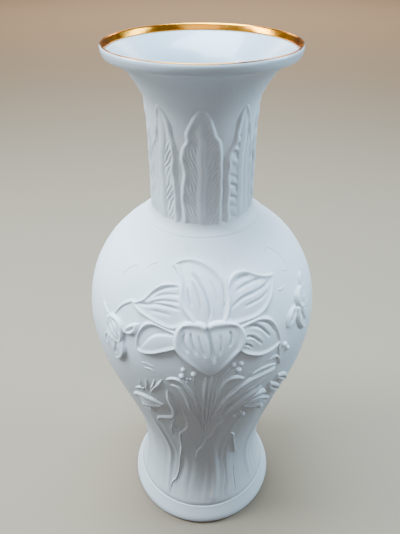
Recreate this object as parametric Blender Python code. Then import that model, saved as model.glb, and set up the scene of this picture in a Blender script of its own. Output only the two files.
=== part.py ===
"""Slender porcelain vase: a foot plinth, a hollow body and a trumpet neck, luted together,
with applied leaves and blossoms, an interior glaze and a gilded lip.

Metres, +Z up, origin at the centre of the foot's underside, main blossom facing -Y.
Patterns are drawn in millimetres: "across" is arc length on a named girth, "up" is height.
"""
import math

import bmesh
import bpy

MM = 0.001

# ---------------------------------------------------------------- driving dimensions (mm)
HEIGHT = 260.0
PLINTH_TOP = 12.7          # joint between plinth and body
NECK_JOINT = 189.7         # joint between body and neck
WALL = 4.0                 # cast wall
GAP = 0.3                  # clearance at each joint
SKIN = 0.6                 # interior glaze, drawn thicker than the real film
STAND_OFF = 0.4            # back of an applied piece above the wall

BELLY_GIRTH = 54.5         # radius on which belly patterns are drawn
NECK_GIRTH = 22.7          # radius on which neck leaves are drawn

SEGMENTS = 32              # facets round the axis
BODY_ROWS = 16
NECK_ROWS = 10

# (height, radius) of the outer wall; a smooth curve runs through them
BODY_GIRTHS = [(PLINTH_TOP + GAP, 38.4), (25.0, 34.9), (40.0, 33.1), (56.0, 34.4), (76.0, 39.2),
               (100.0, 46.5), (120.0, 52.2), (138.0, 54.5), (152.0, 53.2), (164.0, 49.3),
               (175.0, 42.2), (184.0, 32.4), (NECK_JOINT, 26.0)]
NECK_GIRTHS = [(NECK_JOINT + GAP, 25.5), (192.2, 23.2), (196.0, 21.9), (204.0, 21.6),
               (220.0, 21.6), (234.0, 21.9), (240.0, 22.9), (245.0, 25.2), (250.0, 28.4),
               (254.0, 32.1), (256.2, 35.8)]
# the trumpet's inside, from the joint up to the lip
BORE_GIRTHS = [(NECK_JOINT + GAP, 21.6), (192.2, 19.3), (196.0, 18.0), (204.0, 17.6),
               (220.0, 17.6), (234.0, 17.9), (240.0, 18.9), (245.0, 21.2), (250.0, 25.0),
               (254.0, 29.8), (256.6, 34.8)]

# plinth section (radius, height): recessed underside, flat foot ring, rounded toe
PLINTH_SECTION = [(0.0, 8.5), (32.0, 8.5), (34.5, 7.0), (35.5, 0.0), (40.2, 0.0), (41.5, 0.9),
                  (42.3, 2.8), (42.1, 5.2), (40.9, 8.0), (39.4, 11.0), (38.6, PLINTH_TOP),
                  (0.0, PLINTH_TOP)]
# lip section (radius, height): rounded outer band and the sloping gilded edge inside it
LIP_SECTION = [(36.3, 257.0), (36.25, 256.0), (36.6, 255.6), (37.2, 256.2), (37.6, 257.6),
               (37.6, 259.6), (37.35, 259.6), (36.3, 257.2)]
GOLD_SECTION = [(35.5, 257.4), (35.9, 257.3), (37.05, 259.95), (36.85, HEIGHT), (36.5, 259.8)]

# ---------------------------------------------------------------- materials
BISQUE = ("bisque", (0.86, 0.87, 0.88), 0.62, 0.0)
GLAZE = ("glaze", (0.90, 0.91, 0.92), 0.08, 0.0)
GOLD = ("gold", (0.83, 0.58, 0.20), 0.18, 1.0)


def clear_scene():
    for obj in list(bpy.data.objects):
        bpy.data.objects.remove(obj, do_unlink=True)


def make_material(name, look):
    _, color, roughness, metallic = look
    material = bpy.data.materials.new(name)
    material.use_nodes = True
    shader = material.node_tree.nodes["Principled BSDF"]
    shader.inputs["Base Color"].default_value = (*color, 1.0)
    shader.inputs["Roughness"].default_value = roughness
    shader.inputs["Metallic"].default_value = metallic
    material.diffuse_color = (*color, 1.0)
    return material


def finish_object(name, mesh_builder, look, parent):
    """Turn a bmesh into a named, smooth-shaded object with its own material."""
    bmesh.ops.recalc_face_normals(mesh_builder, faces=mesh_builder.faces)
    mesh = bpy.data.meshes.new(name)
    mesh_builder.to_mesh(mesh)
    mesh_builder.free()
    mesh.shade_smooth()
    mesh.set_sharp_from_angle(angle=math.radians(40))
    obj = bpy.data.objects.new(name, mesh)
    obj.data.materials.append(make_material(name, look))
    obj.parent = parent
    bpy.context.scene.collection.objects.link(obj)
    return obj


# ---------------------------------------------------------------- curves
def smooth_curve(points, count):
    """Points on a Catmull-Rom curve through the given ones, even in the parameter."""
    ends = [points[0]] + list(points) + [points[-1]]
    spans = len(points) - 1
    curve = []
    for i in range(count + 1):
        at = spans * i / count
        k = min(int(at), spans - 1)
        t = at - k
        a, b, c, d = ends[k:k + 4]
        curve.append(tuple(
            0.5 * (2 * b[n] + (c[n] - a[n]) * t + (2 * a[n] - 5 * b[n] + 4 * c[n] - d[n]) * t ** 2
                   + (3 * b[n] - a[n] - 3 * c[n] + d[n]) * t ** 3)
            for n in range(len(b))))
    return curve


BODY_WALL = smooth_curve(BODY_GIRTHS, BODY_ROWS)
NECK_WALL = smooth_curve(NECK_GIRTHS, NECK_ROWS)
BORE_WALL = smooth_curve(BORE_GIRTHS, NECK_ROWS)


def radius_at(height):
    """Outer radius of the faceted wall at a height."""
    wall = BODY_WALL + NECK_WALL
    for (z0, r0), (z1, r1) in zip(wall, wall[1:]):
        if height <= z1:
            t = (height - z0) / (z1 - z0)
            return r0 + (r1 - r0) * t
    return wall[-1][1]


def on_wall(across, up, lift, girth, turn):
    """A point of a pattern, lifted off the wall along the wall's normal."""
    reach = 2.0
    slope = (radius_at(up + reach) - radius_at(up - reach)) / (2 * reach)
    normal = 1 / math.hypot(1, slope)
    radius = radius_at(up) + lift * normal
    angle = across / girth + math.radians(turn)
    return (radius * math.sin(angle) * MM, -radius * math.cos(angle) * MM,
            (up - lift * slope * normal) * MM)


# ---------------------------------------------------------------- turned pieces
def turned(name, section, look, parent):
    """Spin a closed (radius, height) section about Z; a point at radius 0 is on the axis."""
    bm = bmesh.new()
    loop = [bm.verts.new((r * MM, 0, z * MM)) for r, z in section]
    edges = [bm.edges.new(pair) for pair in zip(loop, loop[1:])]
    if section[0][0] > 0:
        edges.append(bm.edges.new((loop[-1], loop[0])))
    bmesh.ops.spin(bm, geom=loop + edges, cent=(0, 0, 0), axis=(0, 0, 1),
                   angle=2 * math.pi, steps=SEGMENTS, use_merge=True)
    bmesh.ops.remove_doubles(bm, verts=bm.verts, dist=1e-6)
    return finish_object(name, bm, look, parent)


def swap(wall):
    return [(r, z) for z, r in wall]


def thinned(wall, by):
    return [(r - by, z) for z, r in wall]


def body_section():
    return swap(BODY_WALL) + list(reversed(thinned(BODY_WALL, WALL)))


def neck_section():
    return swap(NECK_WALL) + list(reversed(swap(BORE_WALL)))


def glaze_section():
    """A thin cup that lines plinth floor, body and bore up to the gilded edge."""
    inside = thinned(BODY_WALL, WALL) + thinned(BORE_WALL, 0)[1:]
    outer = [(r - GAP, max(z, PLINTH_TOP + GAP)) for r, z in inside]
    inner = [(r - GAP - SKIN, max(z, PLINTH_TOP + GAP + SKIN)) for r, z in inside]
    lift = 0.35                              # the flare is steep there, so its skin also rises
    outer = [(r, z + (lift if z > 246 else 0)) for r, z in outer]
    inner = [(r, z + (2 * lift if z > 246 else 0)) for r, z in inner]
    return ([(0.0, PLINTH_TOP + GAP)] + outer + list(reversed(inner))
            + [(0.0, PLINTH_TOP + GAP + SKIN)])


# ---------------------------------------------------------------- applied pieces
def sprig(name, left, right, rise, parent, rows=6, cols=4, girth=BELLY_GIRTH, turn=0.0):
    """A domed, wall-hugging pad between two rails; each rail runs from the base to the tip."""
    bm = bmesh.new()
    left_rail = smooth_curve(left, rows)
    right_rail = smooth_curve(right, rows)
    fronts, backs = [], []
    for (ax, az), (bx, bz) in zip(left_rail, right_rail):
        front, back = [], []
        for j in range(cols + 1):
            t = j / cols
            across = ax + (bx - ax) * t
            up = az + (bz - az) * t
            crown = 0.45 + 0.55 * math.sin(math.pi * t)
            front.append(bm.verts.new(on_wall(across, up, STAND_OFF + rise * crown, girth, turn)))
            back.append(bm.verts.new(on_wall(across, up, STAND_OFF, girth, turn)))
        fronts.append(front)
        backs.append(back)
    for sheet in (fronts, backs):
        for row, above in zip(sheet, sheet[1:]):
            for j in range(cols):
                bm.faces.new((row[j], row[j + 1], above[j + 1], above[j]))
    for i in range(rows):
        for j in (0, cols):
            bm.faces.new((fronts[i][j], fronts[i + 1][j], backs[i + 1][j], backs[i][j]))
    for i in (0, rows):
        for j in range(cols):
            bm.faces.new((fronts[i][j], fronts[i][j + 1], backs[i][j + 1], backs[i][j]))
    return finish_object(name, bm, BISQUE, parent)


LEAF_COUNT = 8
LEAF_LEFT = [(-7.7, 195.0), (-8.0, 203.0), (-8.0, 212.0), (-7.8, 222.0), (-5.6, 232.0),
             (-0.8, 240.6)]
LEAF_RIGHT = [(-x, z) for x, z in LEAF_LEFT]

# Blossom pieces: name, left rail, right rail, rise
BLOSSOM = [
    ("petal_top", [(-6.0, 168.0), (-9.6, 171.5), (-11.0, 176.0), (-14.5, 179.5), (-18.3, 181.0)],
     [(11.4, 168.0), (12.9, 172.5), (10.5, 179.0), (1.0, 183.5), (-10.0, 184.3), (-17.9, 181.9)], 1.6),
    ("petal_left", [(-12.4, 174.8), (-17.0, 176.6), (-23.0, 175.6), (-28.5, 170.8), (-33.6, 167.7)],
     [(-10.9, 166.6), (-14.0, 163.4), (-20.0, 163.3), (-27.0, 164.3), (-33.5, 166.9)], 1.5),
    ("petal_right", [(14.9, 174.0), (17.0, 178.7), (23.0, 179.6), (32.0, 177.6), (44.0, 176.0)],
     [(14.4, 167.2), (19.0, 164.4), (27.0, 165.6), (36.0, 169.2), (43.8, 175.1)], 1.5),
    ("sepal_left", [(-13.2, 160.6), (-18.0, 161.6), (-24.0, 161.9), (-28.3, 158.0), (-29.0, 150.5)],
     [(-12.8, 153.6), (-16.0, 151.2), (-20.0, 149.2), (-24.5, 147.8), (-28.4, 149.0)], 1.4),
    ("sepal_right", [(20.6, 161.4), (25.0, 163.0), (30.0, 162.3), (34.0, 157.5), (36.0, 150.0)],
     [(19.4, 153.3), (21.0, 149.2), (25.5, 147.2), (31.0, 147.0), (35.7, 148.6)], 1.4),
    ("lip", [(-6.5, 165.6), (-11.3, 160.5), (-11.2, 153.5), (-6.8, 147.4), (1.9, 139.8)],
     [(11.5, 165.7), (18.4, 160.5), (17.4, 153.8), (12.4, 147.0), (3.0, 139.8)], 2.4),
]

# Growth under the blossom: stems, blades, leaves, berries and roots
GROWTH = [
    ("berries_left", [(-8.7, 144.4), (-10.2, 141.0), (-9.6, 138.2)],
     [(-6.9, 144.4), (-4.0, 142.0), (-2.4, 139.6)], 1.3, 4),
    ("berries_right", [(13.4, 146.2), (12.9, 143.6), (13.8, 140.8)],
     [(17.6, 146.4), (17.6, 143.6), (17.0, 140.8)], 1.3, 4),
    ("bud_spray", [(38.0, 147.6), (36.4, 142.5), (35.2, 136.5)],
     [(41.6, 147.6), (41.2, 142.0), (37.2, 136.2)], 1.2, 4),
    ("stem_bundle", [(-1.6, 137.0), (-1.8, 120.0), (-1.4, 104.0), (-0.6, 86.5)],
     [(4.8, 138.0), (4.8, 120.0), (4.8, 104.0), (4.6, 86.5)], 1.0, 8),
    ("blade_left", [(-15.6, 134.8), (-11.6, 136.0), (-8.4, 130.0), (-7.0, 118.0), (-5.0, 105.5)],
     [(-15.4, 136.6), (-11.0, 137.8), (-6.6, 131.5), (-4.8, 118.5), (-3.0, 105.5)], 1.0, 8),
    ("frond_left", [(-17.2, 127.0), (-17.0, 114.0), (-17.6, 105.5), (-25.0, 101.4), (-29.8, 93.5)],
     [(-14.2, 127.0), (-13.6, 114.0), (-14.4, 103.0), (-23.4, 98.2), (-27.6, 91.8)], 0.9, 8),
    ("blade_right", [(5.8, 116.0), (6.6, 128.0), (9.6, 136.6), (13.0, 138.6), (18.0, 136.8)],
     [(7.8, 116.0), (8.8, 127.0), (11.4, 134.2), (13.6, 136.0), (17.4, 135.0)], 1.0, 8),
    ("broad_leaf_right", [(9.6, 113.0), (11.6, 122.0), (16.0, 129.5), (23.0, 133.6), (34.0, 131.5)],
     [(12.2, 111.5), (15.0, 117.0), (20.0, 120.6), (26.5, 122.4), (34.6, 125.5)], 0.9, 8),
    ("ribbed_leaf_left", [(-20.6, 112.6), (-25.0, 116.4), (-31.0, 116.4), (-36.4, 111.6)],
     [(-20.6, 111.4), (-25.0, 108.9), (-31.0, 108.4), (-36.2, 110.4)], 1.3, 6),
    ("ribbed_leaf_right", [(20.6, 114.2), (25.0, 116.2), (31.0, 114.0), (36.6, 107.6)],
     [(20.6, 113.0), (25.0, 109.8), (31.0, 107.2), (36.0, 106.2)], 1.3, 6),
    ("flower_spray", [(17.0, 104.6), (19.6, 107.4), (23.0, 104.8)],
     [(16.8, 101.6), (20.0, 100.4), (24.0, 100.2)], 1.2, 4),
    ("root_left", [(-10.6, 103.0), (-11.2, 95.0), (-16.6, 84.0), (-18.2, 69.0), (-22.6, 42.0)],
     [(-7.6, 103.0), (-7.4, 93.0), (-13.4, 82.0), (-15.2, 68.0), (-20.0, 42.0)], 0.9, 10),
    ("root_middle", [(2.2, 84.0), (0.4, 75.0), (-3.6, 66.5), (-6.0, 56.0)],
     [(5.4, 84.0), (3.4, 74.0), (-0.8, 65.5), (-3.4, 56.0)], 0.9, 7),
    ("root_right", [(19.6, 80.5), (21.8, 75.0), (26.4, 61.0), (30.6, 49.0)],
     [(22.2, 81.5), (24.8, 75.0), (29.2, 61.5), (33.2, 49.6)], 0.9, 7),
]

# Small blossoms at the flanks
FLANK_BLOSSOMS = [
    ("flank_blossom_left", [(-49.4, 155.6), (-51.4, 149.0), (-49.0, 140.0), (-45.4, 134.2)],
     [(-37.6, 155.8), (-36.2, 149.5), (-39.0, 140.0), (-43.8, 134.2)], 1.5),
    ("flank_blossom_right", [(43.4, 163.0), (43.6, 156.0), (48.4, 149.5), (55.6, 143.6)],
     [(56.6, 165.4), (60.6, 158.5), (60.8, 150.0), (58.4, 143.4)], 1.5),
]


def add_side(side, turn, parent):
    """Everything applied to one side of the vase; the two sides repeat the same set."""
    for name, left, right, rise in BLOSSOM:
        sprig(f"{side}_{name}", left, right, rise, parent, rows=7, turn=turn)
    for name, left, right, rise, rows in GROWTH:
        sprig(f"{side}_{name}", left, right, rise, parent, rows=rows, cols=3, turn=turn)
    for name, left, right, rise in FLANK_BLOSSOMS:
        sprig(f"{side}_{name}", left, right, rise, parent, turn=turn)


def build():
    clear_scene()
    axis = bpy.data.objects.new("vase_axis", None)
    bpy.context.scene.collection.objects.link(axis)

    turned("foot_plinth", PLINTH_SECTION, BISQUE, axis)
    turned("hollow_body", body_section(), BISQUE, axis)
    turned("trumpet_neck", neck_section(), BISQUE, axis)
    turned("interior_glaze", glaze_section(), GLAZE, axis)
    turned("lip_band", LIP_SECTION, GLAZE, axis)
    turned("gold_rim", GOLD_SECTION, GOLD, axis)

    for number in range(LEAF_COUNT):
        sprig(f"neck_leaf_{number + 1}", LEAF_LEFT, LEAF_RIGHT, 1.0, axis, rows=8,
              girth=NECK_GIRTH, turn=number * 360 / LEAF_COUNT)

    add_side("front", 0.0, axis)
    add_side("back", 180.0, axis)


build()
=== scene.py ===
"""Looks of the porcelain vase: fine turned walls, modelled relief, bisque, glaze and gilding."""
import math
from collections import namedtuple

import bpy
import numpy as np
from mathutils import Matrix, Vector


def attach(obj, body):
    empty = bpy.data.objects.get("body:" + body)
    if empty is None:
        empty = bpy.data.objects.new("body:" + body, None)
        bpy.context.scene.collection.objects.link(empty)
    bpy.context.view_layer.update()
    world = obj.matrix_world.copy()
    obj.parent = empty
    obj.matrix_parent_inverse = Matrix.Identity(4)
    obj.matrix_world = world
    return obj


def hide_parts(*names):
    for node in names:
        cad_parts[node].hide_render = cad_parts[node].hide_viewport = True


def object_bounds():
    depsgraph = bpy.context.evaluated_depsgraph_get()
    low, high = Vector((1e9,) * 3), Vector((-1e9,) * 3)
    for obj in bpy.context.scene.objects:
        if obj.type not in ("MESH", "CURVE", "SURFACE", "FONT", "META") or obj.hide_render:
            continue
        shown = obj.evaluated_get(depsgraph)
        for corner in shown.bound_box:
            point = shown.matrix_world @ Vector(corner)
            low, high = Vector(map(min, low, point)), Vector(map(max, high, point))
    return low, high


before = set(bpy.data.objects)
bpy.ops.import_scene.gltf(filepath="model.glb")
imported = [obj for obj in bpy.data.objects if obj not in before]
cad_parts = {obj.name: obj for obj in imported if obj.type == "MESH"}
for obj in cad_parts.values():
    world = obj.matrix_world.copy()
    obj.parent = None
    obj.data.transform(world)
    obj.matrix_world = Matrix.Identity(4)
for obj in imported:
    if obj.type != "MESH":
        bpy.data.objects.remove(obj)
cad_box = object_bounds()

# Patterns are in millimetres: "across" is arc length on a named girth, "up" is height.
MM = 0.001
BELLY_GIRTH = 54.5
NECK_GIRTH = 22.7
WALL_THICKNESS = 4.0
GLAZE_DEPTH = 0.15         # the porcelain of the bore lies this far behind the glaze's surface
GLAZE_FILM = 0.12          # thickness of the coat as drawn
EMBED = -0.9               # backs of applied pieces, inside the wall
SINK = -0.12               # where an applied piece's edge starts, just under the wall's surface
SIDES = (("front", 0.0), ("back", 180.0))
Spot = namedtuple("Spot", "s t out up width")

# (height, radius) of the outer wall and of the trumpet's bore, as in the CAD
BODY_GIRTHS = [(13.0, 38.4), (25.0, 34.9), (40.0, 33.1), (56.0, 34.4), (76.0, 39.2),
               (100.0, 46.5), (120.0, 52.2), (138.0, 54.5), (152.0, 53.2), (164.0, 49.3),
               (175.0, 42.2), (184.0, 32.4), (189.7, 26.0)]
NECK_GIRTHS = [(190.0, 25.5), (192.2, 23.2), (196.0, 21.9), (204.0, 21.6), (220.0, 21.6),
               (234.0, 21.9), (240.0, 22.9), (245.0, 25.2), (250.0, 28.4), (254.0, 32.1),
               (256.2, 35.8)]
BORE_GIRTHS = [(190.0, 21.6), (192.2, 19.3), (196.0, 18.0), (204.0, 17.6), (220.0, 17.6),
               (234.0, 17.9), (240.0, 18.9), (245.0, 21.2), (250.0, 25.0), (254.0, 29.8),
               (257.3, 35.6)]


# ------------------------------------------------------------------ curves and walls
def curve(points, fractions):
    """Points at fractions of the length of a Catmull-Rom curve through the given points."""
    p = np.array([points[0], *points, points[-1]], float)
    spans = len(points) - 1
    at = np.linspace(0, spans, spans * 24 + 1)
    k = np.minimum(at.astype(int), spans - 1)
    t = (at - k)[:, None]
    a, b, c, d = p[k], p[k + 1], p[k + 2], p[k + 3]
    dense = 0.5 * (2 * b + (c - a) * t + (2 * a - 5 * b + 4 * c - d) * t ** 2
                   + (3 * b - a - 3 * c + d) * t ** 3)
    length = np.concatenate([[0], np.cumsum(np.linalg.norm(np.diff(dense, axis=0), axis=1))])
    wanted = np.asarray(fractions) * length[-1]
    return np.stack([np.interp(wanted, length, dense[:, n]) for n in range(dense.shape[1])], -1)


def smoothstep(x):
    """0 below 0, 1 above 1 and an even S between them."""
    x = np.clip(x, 0, 1)
    return x * x * (3 - 2 * x)


def bump(x, width):
    """1 at x = 0, fading to nothing within about twice the width."""
    return np.exp(-(x / width) ** 2)


def window(s, start, end, soft=0.12):
    """1 between start and end, fading to 0 over soft outside them."""
    return smoothstep((s - start + soft) / soft) * smoothstep((end + soft - s) / soft)


def soft_min(a, b, blend=0.35):
    """The smaller of a and b, with a rounded corner where they are nearly equal."""
    h = np.clip(0.5 + 0.5 * (b - a) / blend, 0, 1)
    return b + (a - b) * h - blend * h * (1 - h)


BODY_WALL = curve(BODY_GIRTHS, np.linspace(0, 1, 400))
NECK_WALL = curve(NECK_GIRTHS, np.linspace(0, 1, 200))
WALL = np.concatenate([BODY_WALL, NECK_WALL])


def wall_radius(up):
    return np.interp(up, WALL[:, 0], WALL[:, 1])


def on_wall(across, up, lift, girth=BELLY_GIRTH, turn=0.0):
    """Points of a pattern in metres, lifted off the wall along its normal."""
    reach = 1.5
    slope = (wall_radius(up + reach) - wall_radius(up - reach)) / (2 * reach)
    normal = 1 / np.hypot(1, slope)
    radius = wall_radius(up) + lift * normal
    angle = across / girth + math.radians(turn)
    return MM * np.stack([radius * np.sin(angle), -radius * np.cos(angle),
                          up - lift * slope * normal], -1)


# ------------------------------------------------------------------ meshes
def grid_quads(index):
    """Quads between neighbouring rows and columns of a grid of vertex numbers."""
    return np.stack([index[:-1, :-1], index[:-1, 1:], index[1:, 1:], index[1:, :-1]],
                    -1).reshape(-1, 4)


def slab(front, back, shade_and_grime):
    """A closed slab between two grids of points; the third argument is shade, with a little grime,
    painted into its creases.
    """
    rows, cols = front.shape[:2]
    index = np.arange(rows * cols).reshape(rows, cols)
    middle = front[rows // 2, cols // 2]
    normal = np.cross(front[rows // 2, -1] - front[rows // 2, 0],
                      front[-1, cols // 2] - front[0, cols // 2])
    outward = middle * (1, 1, 0)
    if normal @ outward < 0:
        index = index[:, ::-1]
    edge = np.concatenate([index[0, :-1], index[:-1, -1], index[-1, :0:-1], index[:0:-1, 0]])
    following = np.roll(edge, -1)
    n = rows * cols
    quads = np.concatenate([grid_quads(index), grid_quads(index + n)[:, ::-1],
                            np.stack([edge, edge + n, following + n, following], -1)])
    points = np.concatenate([front.reshape(-1, 3), back.reshape(-1, 3)])
    return points, quads, np.concatenate([shade_and_grime.ravel(), np.zeros(n)])


def turned(section, steps=360, lift=None):
    """A closed section of (radius, up) points spun about Z; lift displaces points radially."""
    section = np.asarray(section, float)
    angle = np.linspace(0, 2 * math.pi, steps, endpoint=False)
    radius = np.repeat(section[:, :1], steps, 1)
    up = np.repeat(section[:, 1:], steps, 1)
    if lift is not None:
        radius = radius + lift(np.broadcast_to(angle, radius.shape), up)
    points = MM * np.stack([radius * np.sin(angle), -radius * np.cos(angle), up], -1)
    index = np.arange(radius.size).reshape(radius.shape)
    index = np.concatenate([index, index[:1]])
    index = np.concatenate([index, index[:, :1]], 1)
    return points.reshape(-1, 3), grid_quads(index)[:, ::-1], np.zeros(radius.size)


def capped(section, steps=360):
    """As turned, for a section that starts and ends on the axis."""
    section = np.asarray(section, float)
    ring = section[1:-1]
    points, quads, shade_and_grime = turned(ring, steps)
    index = np.arange(steps)
    last = (len(ring) - 1) * steps
    body = quads[:last]
    start, end = len(points), len(points) + 1
    poles = MM * np.array([[0, 0, section[0, 1]], [0, 0, section[-1, 1]]])
    ahead = np.roll(index, -1)
    fans = [np.stack([index, ahead, np.full(steps, start)], -1),
            np.stack([last + ahead, last + index, np.full(steps, end)], -1)]
    return np.concatenate([points, poles]), body, np.append(shade_and_grime, [0, 0]), np.concatenate(fans)


def piece(name, shells, material, node=None):
    """One object from closed shells, standing for its CAD node."""
    points, faces, shades_and_grime, offset = [], [], [], 0
    for shell in shells:
        points.append(shell[0])
        shades_and_grime.append(shell[2])
        for group in (shell[1], *shell[3:]):
            faces.append(group + offset)
        offset += len(shell[0])
    points = np.concatenate(points)
    sizes = np.concatenate([np.full(len(f), f.shape[1]) for f in faces])
    corners = np.concatenate([f.ravel() for f in faces])
    mesh = bpy.data.meshes.new(name)
    mesh.vertices.add(len(points))
    mesh.vertices.foreach_set("co", points.ravel())
    mesh.loops.add(len(corners))
    mesh.loops.foreach_set("vertex_index", corners)
    mesh.polygons.add(len(sizes))
    mesh.polygons.foreach_set("loop_start", np.concatenate([[0], np.cumsum(sizes)[:-1]]))
    mesh.update(calc_edges=True)
    mesh.validate()
    mesh.shade_smooth()
    # per-point strength of the shade, with a little grime, painted into creases and hollows
    attribute = mesh.attributes.new("shade_and_grime", "FLOAT", "POINT")
    attribute.data.foreach_set("value", np.concatenate(shades_and_grime).astype(np.float32))
    obj = bpy.data.objects.new(name, mesh)
    obj.data.materials.append(material)
    bpy.context.scene.collection.objects.link(obj)
    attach(obj, "root")
    if node:
        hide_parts(node)
    return obj


# ------------------------------------------------------------------ relief
def stroke(across, up, path, width, fade=0.25):
    """1 on a drawn line, falling to 0 over its width and towards both of its ends."""
    line = curve(path, np.linspace(0, 1, 25))
    start, step = line[:-1], np.diff(line, axis=0)
    gap = np.stack([across, up], -1)[..., None, :] - start
    along = np.clip((gap * step).sum(-1) / (step ** 2).sum(-1), 0, 1)
    distance = np.linalg.norm(gap - along[..., None] * step, axis=-1)
    nearest = distance.argmin(-1)
    reached = np.take_along_axis(along, nearest[..., None], -1)[..., 0]
    reached = (nearest + reached) / len(step)
    ends = smoothstep(reached / fade) * smoothstep((1 - reached) / fade)
    return bump(distance.min(-1), width) * ends, bump(distance.min(-1), 2.4 * width) * ends


def creased(across, up, creases):
    """Height of soft creases and the shade, with a little grime, painted into them; each is (path,
    width, depth).
    """
    height, crease_shade_and_grime = np.zeros_like(up), np.zeros_like(up)
    for path, width, depth in creases:
        line, swell = stroke(across, up, path, width)
        height += depth * (0.35 * swell - 1.2 * line)
        # painted shade, with a little grime, along the crease
        crease_shade_and_grime += 0.9 * depth * line
    return height, crease_shade_and_grime


def leaf_sheet(left, right, rise, base=None, rows=110, cols=72, girth=BELLY_GIRTH, turn=0.0,
               side=0.9, shape=None, creases=(), open_base=False, lowest=0.1):
    """A relief piece between two rails that run from its base to its tip.

    rise lists its heights from base to tip. shape(spot) adds height and the shade, with a little
    grime, painted into creases and hollows, where spot holds s (0-1 along), t (0-1 across), and out
    (distance from the outline), up and width in millimetres.
    """
    s = np.linspace(0, 1, rows)
    t = 0.5 - 0.5 * np.cos(np.linspace(0, math.pi, cols))
    s, t = np.meshgrid(s, t, indexing="ij")
    left_rail, right_rail = curve(left, s[:, 0]), curve(right, s[:, 0])
    flat = left_rail[:, None] * (1 - t[..., None]) + right_rail[:, None] * t[..., None]
    if base is not None:
        edge = curve(base, t[0])
        straight = flat[0]
        flat = flat + (edge - straight)[None] * ((1 - s[..., None]) ** 2)
    across, up = flat[..., 0], flat[..., 1]
    ground = on_wall(across, up, 0.0, girth, turn) / MM
    width = np.linalg.norm(ground[:, -1] - ground[:, 0], axis=-1)[:, None]
    steps = np.linalg.norm(np.diff(ground, axis=0), axis=-1)
    length = np.maximum(steps.sum(0), 1e-3)[None]
    out = soft_min(t * width, (1 - t) * width)
    out = soft_min(out, (1 - s) * length)
    if not open_base:
        out = soft_min(out, s * length)
    out = np.maximum(out, 0)
    near = np.clip(out / side, 0, 1)
    flank = np.sqrt(1 - (1 - near) ** 2)
    height = np.interp(s, np.linspace(0, 1, len(rise)), rise)
    if shape:
        extra, shade_and_grime = shape(Spot(s, t, out, up, width))
    else:
        extra, shade_and_grime = 0 * s, 0 * s
    lines, crease_shade_and_grime = creased(across, up, creases)
    lift = SINK + flank * (np.maximum(height + extra + lines, lowest) - SINK)
    front = on_wall(across, up, lift, girth, turn)
    back = on_wall(across, up, np.full_like(lift, EMBED), girth, turn)
    # the third grid is shade, with a little grime, painted into the creases and hollows
    return slab(front, back, np.clip(shade_and_grime + crease_shade_and_grime, 0, 1) * flank)


def petal_shape(rim=0.35, dome=0.5, cup=0.3, rim_at=1.1, rim_width=0.85, rims=(1.0, 1.0)):
    """A cupped, domed petal with a rolled rim, whose strength differs from left to right."""
    def shape(spot):
        inner = smoothstep((spot.out - rim_at) / 2.2)
        strength = rims[0] + (rims[1] - rims[0]) * spot.t
        extra = strength * rim * bump(spot.out - rim_at, rim_width) - cup * inner
        extra += dome * np.sin(math.pi * spot.t) * np.sin(math.pi * spot.s) ** 0.5
        # the second value is shade, with a little grime, painted into the cupped hollow
        return extra, 0.25 * cup * inner
    return shape


def ridge(path, widths, height, turn=0.0, rows=110, cols=15, lean=0.25):
    """A soft half-round stem along a path; its crest leans to one side."""
    s = np.linspace(0, 1, rows)
    line = curve(path, s)
    along = np.gradient(line, axis=0)
    along /= np.linalg.norm(along, axis=1)[:, None]
    normal = np.stack([along[:, 1], -along[:, 0]], -1)
    half = np.interp(s, np.linspace(0, 1, len(widths)), widths)[:, None] / 2
    half = half * np.sqrt(np.clip(1 - (2 * s - 1) ** 8, 0.02, 1))[:, None]
    t = np.linspace(-1, 1, cols)
    across = line[:, :1] + normal[:, :1] * half * t
    up = line[:, 1:] + normal[:, 1:] * half * t
    fade = np.sqrt(np.clip(1 - (2 * s - 1) ** 6, 0, 1))[:, None]
    profile = np.clip(1 - (t + lean * (1 - t ** 2)) ** 2, 0, 1) ** 0.8
    lift = SINK + (height - SINK) * profile * fade
    front = on_wall(across, up, lift, turn=turn)
    back = on_wall(across, up, np.full_like(lift, EMBED), turn=turn)
    return slab(front, back, 0 * lift)


def berry(across, up, radius, turn, steps=20):
    """A small round berry, half out of the wall."""
    centre = on_wall(np.array(across), np.array(up), 0.05 * radius, turn=turn)
    rings = np.linspace(-math.pi / 2, math.pi / 2, steps // 2 + 1)[1:-1]
    around = np.linspace(0, 2 * math.pi, steps, endpoint=False)
    ring = np.cos(rings)[:, None] * radius * MM
    points = centre + np.stack([ring * np.cos(around), ring * np.sin(around),
                                np.repeat(np.sin(rings)[:, None] * radius * MM, steps, 1)], -1)
    index = np.arange(points[..., 0].size).reshape(points.shape[:2])
    index = np.concatenate([index, index[:, :1]], 1)
    poles = centre + np.array([[0, 0, -radius], [0, 0, radius]]) * MM
    n = points[..., 0].size
    low, high = index[0], index[-1]
    fans = [np.stack([low[1:], low[:-1], np.full(steps, n)], -1),
            np.stack([high[:-1], high[1:], np.full(steps, n + 1)], -1)]
    every = np.concatenate([points.reshape(-1, 3), poles])
    return every, grid_quads(index), np.zeros(len(every)), np.concatenate(fans)


# ------------------------------------------------------------------ materials
def new_material(name):
    material = bpy.data.materials.new(name)
    material.use_nodes = True
    nodes = material.node_tree.nodes
    return material, nodes, material.node_tree.links, nodes["Principled BSDF"]


def noise(nodes, links, place, scale, detail=3.0):
    texture = nodes.new("ShaderNodeTexNoise")
    texture.inputs["Scale"].default_value = scale
    texture.inputs["Detail"].default_value = detail
    links.new(place.outputs["Object"], texture.inputs["Vector"])
    return texture.outputs["Fac"]


def ramp(nodes, links, source, start, end, low, high):
    mapping = nodes.new("ShaderNodeMapRange")
    for name, value in (("From Min", start), ("From Max", end), ("To Min", low), ("To Max", high)):
        mapping.inputs[name].default_value = value
    links.new(source, mapping.inputs["Value"])
    return mapping.outputs["Result"]


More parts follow.
